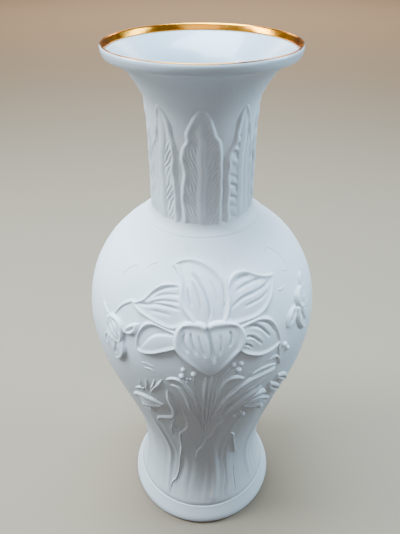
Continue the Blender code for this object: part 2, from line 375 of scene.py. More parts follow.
def blend_colors(nodes, links, factor, first, second):
    mix = nodes.new("ShaderNodeMix")
    mix.data_type = "RGBA"
    links.new(factor, mix.inputs["Factor"])
    for socket, color in ((mix.inputs["A"], first), (mix.inputs["B"], second)):
        if isinstance(color, tuple):
            socket.default_value = (*color, 1.0)
        else:
            links.new(color, socket)
    return mix.outputs["Result"]


def surface_bump(nodes, links, shader, height, distance, strength=1.0):
    node = nodes.new("ShaderNodeBump")
    node.inputs["Distance"].default_value = distance
    node.inputs["Strength"].default_value = strength
    links.new(height, node.inputs["Height"])
    links.new(node.outputs["Normal"], shader.inputs["Normal"])


def bisque_material():
    """Unglazed porcelain: cool white, faint firing tint, soft satin grain, and painted shade with a
    little grime in the creases.
    """
    material, nodes, links, shader = new_material("bisque_porcelain")
    place = nodes.new("ShaderNodeTexCoord")
    tint = ramp(nodes, links, noise(nodes, links, place, 18.0), 0.35, 0.65, 0.0, 1.0)
    white = blend_colors(nodes, links, tint, (0.79, 0.81, 0.83), (0.82, 0.825, 0.825))
    shade_and_grime = nodes.new("ShaderNodeAttribute")
    shade_and_grime.attribute_name = "shade_and_grime"
    # painted shade, with a little grime: creases and hollows turn grey (0.52, 0.54, 0.57)
    shade_mix = ramp(nodes, links, shade_and_grime.outputs["Fac"], 0.0, 1.0, 0.0, 0.55)
    color = blend_colors(nodes, links, shade_mix, white, (0.52, 0.54, 0.57))
    links.new(color, shader.inputs["Base Color"])
    grain = noise(nodes, links, place, 900.0, 4.0)
    links.new(ramp(nodes, links, grain, 0.3, 0.7, 0.48, 0.60), shader.inputs["Roughness"])
    shader.inputs["Subsurface Weight"].default_value = 0.12
    shader.inputs["Subsurface Radius"].default_value = (1.0, 0.9, 0.85)
    shader.inputs["Subsurface Scale"].default_value = 0.0015
    surface_bump(nodes, links, shader, grain, 0.00006)
    return material


def glaze_material(name, deep_shaded_color, upper_color):
    """Clear glaze over white porcelain, rippled, with painted shade that turns it greyer further
    below the lip.
    """
    material, nodes, links, shader = new_material(name)
    place = nodes.new("ShaderNodeTexCoord")
    split = nodes.new("ShaderNodeSeparateXYZ")
    links.new(place.outputs["Object"], split.inputs["Vector"])
    # painted shade: the glaze's colour darkens further below the lip
    depth_shade = ramp(nodes, links, split.outputs["Z"], 0.225, 0.257, 0.0, 0.8)
    uneven = ramp(nodes, links, noise(nodes, links, place, 25.0), 0.35, 0.65, 0.0, 0.2)
    amount = nodes.new("ShaderNodeMath")
    links.new(depth_shade, amount.inputs[0])
    links.new(uneven, amount.inputs[1])
    color = blend_colors(nodes, links, amount.outputs["Value"], deep_shaded_color, upper_color)
    links.new(color, shader.inputs["Base Color"])
    shader.inputs["Roughness"].default_value = 0.30
    shader.inputs["Coat Weight"].default_value = 0.35
    shader.inputs["Coat Roughness"].default_value = 0.05
    surface_bump(nodes, links, shader, noise(nodes, links, place, 70.0, 1.0), 0.0002)
    return material


def gold_material():
    """Burnished gold lustre, a little uneven where the brush overlapped."""
    material, nodes, links, shader = new_material("gold_lustre")
    place = nodes.new("ShaderNodeTexCoord")
    patch = noise(nodes, links, place, 120.0, 3.0)
    color = blend_colors(nodes, links, ramp(nodes, links, patch, 0.3, 0.7, 0.0, 1.0),
                         (0.74, 0.24, 0.014), (0.86, 0.34, 0.028))
    links.new(color, shader.inputs["Base Color"])
    links.new(ramp(nodes, links, patch, 0.3, 0.7, 0.16, 0.28), shader.inputs["Roughness"])
    shader.inputs["Metallic"].default_value = 1.0
    surface_bump(nodes, links, shader, noise(nodes, links, place, 500.0, 2.0), 0.00003)
    return material


BISQUE, GOLD = bisque_material(), gold_material()
# the interior's copy of the glaze is darker than the lip band's: painted shade inside the mouth
SHADED_INNER_GLAZE = glaze_material("interior_glaze_coat", (0.35, 0.40, 0.45), (0.42, 0.48, 0.54))
LIP_GLAZE = glaze_material("lip_glaze", (0.62, 0.68, 0.73), (0.68, 0.73, 0.77))


# ------------------------------------------------------------------ turned pieces
def swap(wall, by=0.0):
    """Wall points (height, radius) as section points (radius, height), moved inwards."""
    return [(r - by, z) for z, r in wall]


def corner_round(centre, radius, start, end, count=6):
    """Arc points of a section, angles in degrees from +radius towards +up."""
    at = np.radians(np.linspace(start, end, count))
    return [(centre[0] + radius * math.cos(a), centre[1] + radius * math.sin(a)) for a in at]


def streaks(count, seed):
    """Soft upright ridges on the lower body: (angle, width in mm, foot, head, height)."""
    rng = np.random.default_rng(seed)
    return [(rng.uniform(0, 2 * math.pi), rng.uniform(0.9, 2.4), rng.uniform(13, 30),
             rng.uniform(45, 100), rng.uniform(0.08, 0.28)) for _ in range(count)]


STREAKS = streaks(90, 11)
STREAKS_FROM = 14.5


def body_relief(angle, up):
    """Height of the upright streaks of foliage, which start just above the notch at the foot."""
    rise = np.zeros_like(up)
    radius = wall_radius(up)
    sway = 0.03 * np.sin(up / 9.0 + 3 * angle)
    for place, width, foot, head, height in STREAKS:
        gap = (angle + sway - place + math.pi) % (2 * math.pi) - math.pi
        rise += height * bump(gap * radius, width) * window(up, foot, head, 12.0)
    return rise * smoothstep((up - STREAKS_FROM) / 4)


def add_body():
    wall = curve(BODY_GIRTHS, np.linspace(0, 1, 190))
    outer = [(38.1, 12.98)] + corner_round((38.1, 13.4), 0.42, -80, -10, 4) + swap(wall)[3:-2]
    outer += [(26.25, 189.45), (26.02, 189.66), (25.6, 189.74)]
    inner = swap(curve(BODY_GIRTHS, np.linspace(1, 0, 16)), WALL_THICKNESS)

    def relief(angle, up):
        outside = (np.arange(up.shape[0]) < len(outer))[:, None]
        return body_relief(angle, up) * outside

    piece("hollow_body_shell", [turned(outer + inner, 440, relief)], BISQUE, "hollow_body")


def add_neck():
    wall = swap(curve(NECK_GIRTHS, np.linspace(0, 1, 90)))
    bore = swap(curve(BORE_GIRTHS, np.linspace(0.98, 0, 40)), -GLAZE_DEPTH)
    section = [(24.9, 189.4), (25.72, 189.6)] + wall + [(36.0, 256.9)] + bore
    piece("trumpet_neck_shell", [turned(section, 360)], BISQUE, "trumpet_neck")


def add_interior_glaze():
    """A cup, a fraction of a millimetre thick, that lines the whole inside, from the floor to the
    lip.
    """
    inside = swap(curve(BODY_GIRTHS, np.linspace(0, 1, 60)), WALL_THICKNESS + 0.3)
    inside = [(r, max(z, 13.2)) for r, z in inside]
    skin = inside + swap(curve(BORE_GIRTHS, np.linspace(0.01, 1, 90)))
    flare_start = 246.0
    back = [(r + GLAZE_FILM, z - 0.1 * (z > flare_start)) for r, z in reversed(skin)]
    floor_radius, floor_up = skin[0]
    cup = [(0.0, 13.4), (floor_radius, floor_up + 0.2)] + skin[1:] + back + [(0.0, 13.1)]
    piece("interior_glaze_coat", [capped(cup, 240)], SHADED_INNER_GLAZE, "interior_glaze")


def add_lip_band():
    band = [tuple(p) for p in curve(
        [(35.2, 255.95), (35.9, 255.5), (36.7, 255.75), (37.3, 256.7), (37.6, 258.0),
         (37.58, 259.0), (37.3, 259.65), (36.95, 259.8)], np.linspace(0, 1, 26))]
    band += [(36.5, 259.3), (36.0, 257.9)]
    piece("lip_glaze_band", [turned(band, 480)], LIP_GLAZE, "lip_band")


def add_gilding():
    gold = corner_round((36.98, 259.35), 0.56, 48, 120, 8)
    gold += [(36.35, 259.3), (35.95, 258.5), (35.62, 257.75), (35.5, 257.35)]
    gold += [(35.8, 257.2), (36.2, 258.2), (36.75, 259.2), (37.2, 259.35)]
    piece("gilded_edge", [turned(gold, 480)], GOLD, "gold_rim")


def add_foot():
    """The plinth: recessed floor, foot ring, moulded edge and flat top."""
    foot = [(0.0, 8.5), (20.0, 8.5), (31.5, 8.4)] + corner_round((32.4, 6.4), 2.0, 90, 10, 6)
    foot += [(34.9, 2.5)] + corner_round((36.2, 0.7), 0.7, 180, 270, 5)
    foot += [(37.5, 0.0), (39.0, 0.0)] + [tuple(p) for p in curve(
        [(40.2, 0.0), (41.4, 0.7), (42.2, 2.1), (42.3, 3.8), (41.8, 5.8), (40.6, 8.5),
         (39.5, 10.9), (38.95, 12.35)], np.linspace(0, 1, 40))]
    foot += corner_round((38.5, 12.3), 0.42, 10, 90, 4) + [(20.0, 12.72), (0.0, 12.72)]
    piece("foot_plinth_turned", [capped(foot, 360)], BISQUE, "foot_plinth")


# ------------------------------------------------------------------ neck leaves
# half outlines as (across, up) from the foot of the leaf to its rounded tip
LEAF_EDGE = [(8.9, 191.2), (8.3, 196.0), (9.2, 205.0), (8.9, 210.0), (8.0, 216.0), (9.1, 222.0),
             (8.4, 226.0), (6.7, 229.0), (6.9, 232.0), (5.5, 235.0), (3.6, 238.4), (1.9, 240.6),
             (0.1, 241.4)]
LEAF_EDGE_BROAD = [(8.7, 191.2), (8.7, 200.0), (8.9, 210.0), (8.7, 220.0), (8.5, 225.0),
                   (7.9, 228.5), (6.2, 231.0), (5.4, 233.5), (3.9, 237.3), (2.0, 240.2),
                   (0.1, 241.4)]
LEAF_EDGE_NARROW = [(8.3, 191.2), (8.4, 197.0), (8.1, 203.0), (8.0, 209.0), (7.2, 216.0),
                    (7.5, 222.0), (7.3, 226.0), (6.2, 230.0), (5.6, 234.0), (3.9, 237.6),
                    (2.0, 240.4), (0.1, 241.4)]
LEAF_EDGE_STEPPED = [(8.5, 191.2), (8.3, 197.0), (8.7, 203.0), (8.2, 208.0), (8.6, 214.0),
                     (8.1, 219.0), (8.3, 222.0), (6.8, 225.0), (5.0, 227.5), (4.2, 231.0),
                     (3.4, 236.0), (1.9, 239.6), (0.1, 241.4)]
# rib slope, rib spacing in mm and rib strength, left of the midrib and then right of it
LEAF_RIBS = [((2.2, 2.9, 0.8), (1.5, 2.6, 0.9)), ((0.7, 4.4, 1.1), (1.2, 2.9, 0.3)),
             ((1.6, 3.0, 0.8), (1.5, 3.4, 0.6)), ((1.3, 2.6, 0.5), (1.8, 3.1, 1.0)),
             ((2.1, 3.1, 0.9), (1.2, 2.5, 0.5)), ((1.0, 3.4, 0.4), (1.4, 2.8, 1.0)),
             ((1.5, 2.8, 1.0), (1.9, 3.2, 0.5)), ((1.4, 3.1, 0.5), (2.1, 3.7, 0.9))]
LEAF_FOOT = 191.9
# heights where the ribs, the midrib and the creases beside it end, and the relief calms
RIB_END, MIDRIB_END, CREASE_END, CALM_FROM = 238.0, 239.5, 237.0, 236.0


def neck_leaf_shape(number):
    """Broad midrib, herringbone ribs that rise outwards and a thick, lumpy rolled margin."""
    left, right = LEAF_RIBS[number]
    swing = 1.7 * number

    def shape(spot):
        side = (spot.t - 0.5) * spot.width            # distance from the midrib, right is plus
        beside = np.abs(side)
        slope, gap, strength = (np.where(side < 0, a, b) for a, b in zip(left, right))
        wander = 0.5 * np.sin(0.55 * spot.up + swing) + 0.35 * np.sin(1.3 * spot.up + 2 * swing)
        phase = (spot.up - slope * beside + wander) / gap * 2 * math.pi
        inside = smoothstep((beside - 1.5) / 1.0) * smoothstep((spot.out - 1.5) / 1.2)
        inside = inside * smoothstep((RIB_END - spot.up) / 8.0)
        depth = strength * (0.75 + 0.35 * np.sin(0.38 * spot.up + 3 * swing + np.sign(side)))
        rib = (0.5 + 0.5 * np.cos(phase)) ** 1.3 * inside * depth
        lumps = 1 + 0.35 * np.sin(0.78 * spot.up + swing + 2.0 * np.sign(side))
        margin = bump(spot.out - 1.35, 1.05) * lumps
        midrib = bump(beside, 1.1) * smoothstep((MIDRIB_END - spot.up) / 3)
        beside_midrib = bump(side - 1.75, 0.5) + 0.4 * bump(side + 1.9, 0.5)
        beside_midrib = beside_midrib * smoothstep((CREASE_END - spot.up) / 8)
        extra = 0.45 * margin + 0.2 * midrib - 0.52 * rib - 0.25 * beside_midrib
        extra = extra * (1 - 0.4 * smoothstep((spot.up - CALM_FROM) / 4.0))
        fade = smoothstep((spot.up - LEAF_FOOT) / 6.0)
        # painted shade, with a little grime, in the ribs and beside the midrib
        shade_and_grime = (0.5 * rib + 0.3 * beside_midrib) * fade
        return extra * fade - 1.0 * (1 - fade), shade_and_grime
    return shape


def add_neck_leaves():
    for number in range(8):
        left, right = LEAF_EDGE, LEAF_EDGE_BROAD
        if number % 2:
            left, right = LEAF_EDGE_STEPPED, LEAF_EDGE_NARROW
        sheet = leaf_sheet([(-x, z) for x, z in left], right, (0.65, 0.65, 0.1), rows=210, cols=90,
                           girth=NECK_GIRTH, turn=45 * number, side=1.5,
                           shape=neck_leaf_shape(number), open_base=True, lowest=-0.5)
        piece(f"neck_leaf_{number + 1}_relief", [sheet], BISQUE, f"neck_leaf_{number + 1}")


# ------------------------------------------------------------------ main blossom
def lip_shape(spot):
    """A full pouch with a thick rolled rim that thins towards its tip, and a grooved bowl."""
    s, t = spot.s, spot.t
    rim = bump(spot.out - 1.7, 1.05) * (1 - 0.75 * smoothstep((s - 0.2) / 0.6))
    hollow = smoothstep((spot.out - 2.0) / 2.4) * (1 - smoothstep((s - 0.35) / 0.5))
    bulge = np.sin(math.pi * t) * np.sin(math.pi * s ** 0.6)
    extra = 0.45 * rim - 0.45 * hollow + 0.65 * bulge
    # the second value is shade, with a little grime, painted into the bowl
    return extra, 0.10 * hollow


def sepal_left_shape(spot):
    """A hollow petal with a rolled rim; a fold runs over its lower half and fades outwards."""
    fold = 0.12 + 0.55 * spot.s
    reach = 1 - smoothstep((spot.s - 0.5) / 0.35)
    over = smoothstep((spot.t - fold) * spot.width / 1.1)
    hollow = smoothstep((spot.out - 0.9) / 2.0) * (1 - 0.85 * over) * (0.3 + 0.7 * reach)
    lobe = np.clip((spot.t - fold) / (1 - fold), 0, 1)
    extra = 0.5 * bump(spot.out - 1.1, 0.85) - 0.75 * hollow
    extra += reach * over * (0.12 + 0.25 * np.sin(math.pi * lobe ** 0.7))
    # painted shade, with a little grime, along the fold and in the hollow
    shade_and_grime = 0.5 * reach * bump((spot.t - fold) * spot.width + 0.45, 0.6) + 0.12 * hollow
    return extra, shade_and_grime


BLOSSOM = [
    ("petal_left",
     [(-7.0, 174.6), (-11.5, 176.8), (-16.0, 177.1), (-21.0, 176.4), (-25.0, 174.2),
      (-28.2, 170.9), (-31.8, 168.8), (-35.6, 167.4)],
     [(-6.0, 164.0), (-9.5, 162.2), (-13.5, 161.2), (-18.5, 161.9), (-24.5, 163.2),
      (-30.0, 164.2), (-33.4, 165.6), (-35.6, 167.0)],
     None, (1.0, 1.3, 0.45), petal_shape(rim=0.5, dome=0.45, cup=0.35, rims=(1.2, 0.7)),
     [([(-9.0, 176.0), (-16.0, 175.6), (-22.0, 174.0), (-26.0, 171.0)], 0.55, 0.74),
      ([(-9.0, 173.6), (-15.0, 173.4), (-20.0, 172.6), (-24.5, 170.6)], 0.5, 0.47),
      ([(-8.5, 171.0), (-14.5, 171.2), (-20.5, 170.6), (-26.5, 168.8)], 0.5, 0.68),
      ([(-8.5, 168.4), (-14.0, 169.4), (-21.0, 169.4), (-27.0, 168.2), (-33.0, 167.6)], 0.55, 1.01),
      ([(-13.0, 166.6), (-19.0, 166.9), (-25.0, 166.6)], 0.6, 0.34)]),
    ("petal_right",
     [(9.0, 171.0), (12.6, 175.6), (15.0, 178.4), (19.5, 179.9), (25.5, 179.7), (30.0, 178.2),
      (36.0, 176.6), (42.6, 175.7)],
     [(10.0, 165.2), (14.0, 163.0), (19.0, 163.1), (25.0, 163.6), (31.0, 165.6), (36.0, 168.8),
      (40.0, 172.4), (42.8, 175.2)],
     None, (1.0, 1.35, 0.45), petal_shape(rim=0.55, dome=0.5, cup=0.4, rims=(1.2, 0.6)),
     [([(17.0, 176.6), (21.0, 177.7), (27.0, 177.6)], 0.6, 0.81),
      ([(16.0, 173.8), (20.5, 175.0), (27.0, 175.7), (33.5, 175.6)], 0.55, 0.81),
      ([(12.4, 168.0), (15.0, 169.8), (20.0, 171.8), (27.0, 172.5), (33.5, 173.2),
        (39.0, 174.6)], 0.55, 1.15),
      ([(19.0, 168.6), (25.0, 169.4), (30.0, 170.0), (35.0, 171.6)], 0.5, 0.54)]),
    ("petal_top",
     [(-3.0, 163.2), (-6.2, 166.2), (-9.4, 169.0), (-11.2, 172.0), (-11.2, 175.2),
      (-12.6, 178.0), (-15.2, 180.0), (-19.0, 181.4)],
     [(9.6, 163.2), (12.2, 166.4), (13.8, 170.0), (14.4, 174.0), (12.2, 178.6), (7.5, 181.6),
      (1.0, 183.6), (-7.0, 184.4), (-13.5, 183.6), (-18.9, 181.7)],
     None, (1.7, 2.0, 0.6),
     petal_shape(rim=0.55, dome=0.7, cup=0.45, rims=(1.5, 1.2), rim_at=1.3, rim_width=0.95),
     [([(-7.0, 180.0), (-3.4, 178.8), (0.2, 176.0), (2.8, 172.0), (3.4, 168.0), (2.4, 164.8)],
       0.65, 1.25),
      ([(-6.0, 178.2), (-3.0, 175.4), (-0.8, 171.6), (-0.6, 168.4)], 0.6, 0.8),
      ([(-7.4, 176.4), (-6.2, 173.4), (-4.4, 170.0)], 0.6, 0.9),
      ([(10.4, 178.0), (11.0, 174.0), (10.2, 169.0)], 0.7, 0.6),
      ([(3.6, 178.6), (6.4, 175.0), (7.2, 171.0)], 0.65, 0.45)]),
    ("sepal_left",
     [(-7.0, 160.4), (-12.0, 161.4), (-17.0, 162.6), (-22.0, 163.2), (-25.6, 161.9),
      (-28.2, 158.5), (-29.1, 154.0), (-28.6, 149.4)],
     [(-7.0, 154.6), (-12.5, 152.4), (-17.0, 150.4), (-21.0, 148.5), (-24.6, 147.6),
      (-27.2, 147.8), (-28.4, 149.0)],
     None, (1.0, 1.15, 0.9), sepal_left_shape, []),
    ("sepal_right",
     [(13.0, 161.6), (19.0, 163.4), (25.0, 164.2), (30.0, 163.2), (33.2, 160.6), (35.0, 156.0),
      (36.2, 149.6)],
     [(13.0, 154.6), (16.4, 150.9), (20.0, 148.3), (25.0, 146.6), (29.5, 146.5), (33.4, 147.4),
      (36.0, 149.0)],
     None, (1.0, 1.2, 0.8), petal_shape(rim=0.5, dome=0.35, cup=0.3),
     [([(18.0, 160.8), (22.0, 161.4), (26.0, 159.6), (29.0, 156.0), (30.2, 153.4)], 0.6, 1.15),
      ([(25.0, 162.4), (29.4, 160.8), (32.0, 157.6), (33.2, 154.0)], 0.5, 0.68),
      ([(18.0, 157.4), (21.6, 157.0), (24.4, 154.4), (26.0, 152.0)], 0.55, 1.08),
      ([(17.6, 154.6), (20.0, 153.6), (21.8, 151.6)], 0.5, 0.81)]),
    ("lip",
     [(-8.6, 164.6), (-11.6, 161.5), (-12.3, 157.6), (-11.4, 153.6), (-7.6, 149.0),
      (-2.6, 144.8), (2.9, 141.0)],
     [(15.2, 164.0), (18.3, 161.2), (19.2, 157.8), (17.8, 154.0), (15.2, 151.4), (12.2, 148.2),
      (8.4, 144.2), (3.6, 141.0)],
     [(-8.6, 164.6), (-4.5, 165.9), (-0.6, 165.9), (2.1, 165.2), (5.4, 166.1), (10.6, 165.8),
      (15.2, 164.0)],
     (2.5, 2.2, 1.4), lip_shape,
     [([(1.4, 169.4), (2.4, 163.0), (3.9, 157.0), (5.0, 148.0)], 0.75, 1.7),
      ([(-7.2, 161.6), (-7.4, 157.4), (-5.4, 153.0)], 0.6, 0.85),
      ([(-4.8, 162.2), (-3.8, 157.4), (-2.0, 152.4)], 0.55, 0.95),
      ([(-1.6, 161.4), (-0.2, 156.4), (1.4, 151.0)], 0.5, 0.6),
      ([(7.2, 161.4), (7.8, 157.4), (7.2, 152.0)], 0.55, 0.5),
      ([(11.4, 162.0), (12.2, 159.0), (11.2, 155.0)], 0.65, 0.85)]),
]


def add_blossom(side, turn):
    for name, left, right, base, rise, shape, creases in BLOSSOM:
        sheet = leaf_sheet(left, right, rise, base, turn=turn, shape=shape, rows=150, cols=110,
                           side=1.6 if name == "lip" else 1.2, creases=creases,
                           open_base=name != "lip")
        piece(f"{side}_{name}_relief", [sheet], BISQUE, f"{side}_{name}")


# ------------------------------------------------------------------ growth under the blossom
# round berries: (across, up, radius)
BERRIES = {
    "berries_left": [(-7.8, 143.5, 1.05), (-8.5, 139.9, 1.25), (-3.4, 141.5, 1.3),
                     (-6.2, 138.4, 0.5), (-4.8, 138.3, 0.5), (-6.4, 136.4, 0.6)],
    "berries_right": [(13.2, 145.1, 1.1), (16.5, 145.1, 1.15), (15.4, 142.0, 1.35)],
    "bud_spray": [(35.6, 148.2, 1.1), (39.2, 145.6, 1.2), (41.0, 142.6, 1.2)],
    "flower_spray": [(20.6, 106.6, 1.0), (17.8, 102.8, 1.0), (22.4, 103.2, 1.4),
                     (24.2, 100.6, 0.9), (33.6, 104.0, 1.9)],
}

# stems: (height, widths from start to end, path)
STEMS = {
    "berries_left": [
        (0.6, (0.6, 1.1, 0.7), [(-8.3, 139.0), (-7.0, 134.5), (-5.2, 128.0)]),
        (0.6, (0.6, 1.0, 0.8), [(-3.4, 140.4), (-3.6, 135.5), (-3.0, 129.0), (-1.6, 120.0)])],
    "berries_right": [
        (0.8, (0.7, 1.2, 1.3, 0.8), [(12.6, 144.4), (10.2, 141.5), (8.2, 137.6), (6.4, 131.5),
                                     (4.9, 124.0)]),
        (0.7, (0.6, 1.2, 0.9), [(15.0, 141.2), (11.5, 139.4), (8.8, 135.6), (7.0, 130.5)]),
        (0.6, (0.5, 1.0, 0.6), [(16.0, 143.8), (12.8, 141.8), (9.8, 138.4)])],
    "bud_spray": [
        (0.7, (0.6, 1.1, 0.8), [(35.4, 147.2), (35.8, 142.6), (36.8, 136.4)]),
        (1.0, (0.7, 1.6, 1.6, 0.8), [(29.6, 141.4), (33.4, 142.0), (35.8, 139.6), (36.8, 134.8)])],
    "stem_bundle": [
        (1.3, (2.8, 2.4, 2.1, 1.8, 1.5, 0.9), [(1.6, 140.0), (1.0, 132.0), (0.6, 122.0),
                                               (0.3, 110.0), (0.2, 98.0), (0.4, 86.0)]),
        (1.1, (2.6, 2.1, 1.9, 1.6, 1.4, 0.9), [(4.2, 140.5), (3.3, 132.0), (2.6, 122.0),
                                               (2.2, 110.0), (2.0, 98.0), (1.9, 86.0)]),
        (1.0, (1.2, 1.9, 1.7, 1.4, 1.2, 0.8), [(6.2, 139.0), (5.0, 131.0), (4.3, 121.0),
                                               (3.8, 110.0), (3.7, 99.0), (3.6, 88.0)]),
        (0.8, (0.8, 1.4, 1.2, 0.8), [(-2.6, 129.0), (-1.6, 119.0), (-0.9, 108.0), (-0.6, 97.0)])],
    "blade_left": [
        (1.3, (1.2, 2.6, 3.0, 2.6, 2.1, 1.7, 1.2, 0.7),
         [(-15.8, 135.4), (-13.6, 136.9), (-10.9, 137.2), (-7.9, 134.9), (-5.2, 129.4),
          (-3.4, 122.5), (-2.2, 115.0), (-1.5, 106.0)]),
        (1.2, (2.0, 2.4, 2.1, 1.8, 1.7, 1.6, 1.3, 1.1, 0.9, 0.6),
         [(-14.2, 132.4), (-11.6, 132.4), (-9.4, 130.6), (-7.6, 125.6), (-6.4, 119.5),
          (-5.8, 114.5), (-4.6, 109.0), (-2.6, 103.4), (-1.0, 98.0), (-0.5, 90.0)])],
    "frond_left": [
        (1.3, (1.2, 2.7, 3.2, 3.0, 2.9, 2.7, 2.3, 2.1, 1.8, 0.8),
         [(-15.6, 129.0), (-15.6, 122.0), (-14.7, 115.5), (-14.5, 110.0), (-15.3, 105.4),
          (-17.4, 102.2), (-21.0, 100.4), (-24.6, 98.2), (-27.2, 94.6), (-29.2, 89.4)]),
        (0.9, (1.0, 1.6, 1.3, 0.6), [(-17.6, 135.0), (-19.6, 131.2), (-22.4, 127.0),
                                     (-24.6, 122.4)]),
        (0.7, (0.6, 1.2, 0.6), [(-21.2, 133.6), (-22.4, 129.6), (-24.4, 125.4)]),
        (0.7, (0.6, 1.2, 0.6), [(-25.4, 132.0), (-26.0, 127.6), (-27.0, 123.2)]),
        (0.8, (0.8, 1.6, 0.8), [(-33.8, 120.2), (-30.6, 122.6), (-27.6, 123.8)]),
        (0.7, (0.6, 1.2, 0.6), [(-29.6, 128.6), (-29.4, 124.8), (-28.6, 120.8)]),
        (0.3, (0.4, 0.8, 0.4), [(-26.8, 141.8), (-24.0, 142.3), (-20.6, 141.6)]),
        (0.3, (0.4, 0.8, 0.4), [(-25.8, 139.4), (-23.0, 139.7), (-20.4, 139.1)])],
    "blade_right": [
        (1.4, (0.8, 2.4, 3.0, 2.6, 2.1, 1.8, 1.3, 0.7),
         [(18.8, 135.6), (15.6, 137.6), (12.4, 138.0), (9.6, 136.2), (7.6, 131.6), (6.2, 125.0),
          (5.0, 117.0), (4.4, 108.0)]),
        (1.0, (0.8, 1.9, 1.8, 0.7), [(21.6, 136.9), (26.0, 138.2), (30.5, 138.0), (34.8, 136.8)])],
    "flower_spray": [
        (0.8, (0.6, 1.5, 0.8), [(14.0, 108.0), (17.5, 109.5), (21.0, 109.0)]),
        (0.8, (0.6, 1.5, 0.8), [(16.5, 104.0), (20.0, 105.0), (23.0, 104.0)]),
        (0.5, (0.5, 1.0, 0.6), [(17.5, 101.5), (14.5, 90.0)]),
        (0.5, (0.5, 1.0, 0.6), [(22.5, 101.5), (18.5, 87.0)])],
    "root_left": [
        (1.2, (0.8, 1.9, 2.6, 2.8, 2.8, 2.6, 2.3, 2.1, 2.0, 1.9, 1.7, 1.5, 1.5, 1.5, 1.0),
         [(-9.8, 118.0), (-9.6, 110.0), (-8.6, 103.5), (-8.0, 97.0), (-9.6, 91.2), (-12.6, 87.0),
          (-15.0, 82.0), (-15.9, 75.0), (-16.5, 66.0), (-18.2, 58.0), (-20.3, 50.0),
          (-21.6, 41.0), (-24.4, 30.5), (-28.4, 24.6), (-29.8, 16.0)]),
        (1.0, (2.2, 1.9, 1.5, 0.7), [(-15.5, 99.5), (-19.5, 89.0), (-21.0, 78.0)]),
        (1.0, (0.8, 1.8, 1.8, 0.8), [(-14.5, 101.5), (-18.5, 94.0), (-16.0, 87.0),
                                     (-12.5, 92.5)]),
        (0.9, (1.0, 1.8, 1.6, 0.8), [(-9.5, 90.0), (-7.5, 75.0), (-3.5, 60.0)])],
    "root_middle": [
        (1.7, (0.8, 1.4, 1.6, 1.8, 2.2, 2.6, 2.4, 2.2, 2.4, 2.0, 1.4, 1.0, 0.7),
         [(13.0, 109.5), (11.8, 101.5), (8.6, 95.5), (6.9, 88.5), (5.6, 83.4), (3.4, 81.0),
          (2.3, 77.0), (0.7, 71.0), (-2.6, 66.2), (-3.9, 61.8), (-4.5, 57.0), (-4.8, 53.8),
          (-3.6, 50.6)]),
        (1.0, (1.0, 1.6, 1.6, 1.2, 0.7), [(7.0, 84.0), (8.2, 75.0), (9.8, 63.0), (11.6, 56.0),
                                          (12.4, 52.4)]),
        (0.8, (0.8, 1.6, 0.8), [(2.6, 60.5), (2.9, 53.0), (2.2, 46.0)]),
        (0.35, (0.6, 0.9, 0.6), [(1.6, 24.6), (2.8, 21.6), (3.6, 17.6)])],
    "root_right": [
        (1.2, (1.2, 2.5, 2.3, 2.0, 1.7, 0.8), [(20.0, 81.0), (22.6, 77.4), (24.4, 70.6),
                                               (27.2, 62.8), (29.6, 55.2), (32.4, 50.4)]),
        (0.4, (0.7, 1.4, 1.4, 0.8), [(20.6, 58.0), (20.3, 42.0), (20.9, 26.0), (20.6, 15.4)]),
        (0.35, (0.7, 1.3, 0.8), [(31.4, 38.0), (31.9, 26.0), (31.2, 15.6)])],
    "flank_blossom_left": [
        (0.9, (1.8, 2.0, 1.8, 1.0), [(-34.0, 168.0), (-40.0, 164.5), (-44.0, 158.5)]),
        (0.6, (0.7, 1.2, 0.8), [(-54.5, 159.5), (-51.0, 157.5), (-47.5, 156.5)])],
}

# small petals of the side blossoms: (rise, dome, root, tip, width, bend, creases across)
PETALS = {
    "flank_blossom_left": [
        ((0.8, 1.3, 0.9), 0.4, (-40.0, 151.5), (-41.0, 136.5), 10.0, 0.5, (0.0,)),
        ((0.7, 1.0, 0.7), 0.3, (-47.0, 149.0), (-45.5, 141.0), 5.0, -0.5, (0.0,)),
        ((1.0, 1.5, 0.9), 0.5, (-47.0, 157.0), (-37.5, 147.5), 12.0, 0.5, (-0.55, 0.0, 0.5)),
        ((0.7, 1.0, 0.7), 0.3, (-36.5, 153.5), (-29.0, 160.0), 4.5, -0.5, (0.0,))],
    "flank_blossom_right": [
        ((0.7, 1.0, 0.6), 0.3, (49.0, 160.0), (41.5, 152.5), 5.5, -0.5, (0.0,)),
        ((0.8, 1.1, 0.6), 0.3, (50.5, 158.5), (55.0, 145.0), 8.5, 0.5, (0.0,)),
        ((1.0, 1.4, 0.8), 0.4, (53.0, 156.0), (57.0, 165.0), 10.5, 0.0, (0.1,)),
        ((0.5, 0.8, 0.5), 0.3, (58.5, 162.5), (62.5, 169.0), 4.5, 0.0, (0.0,))],
}

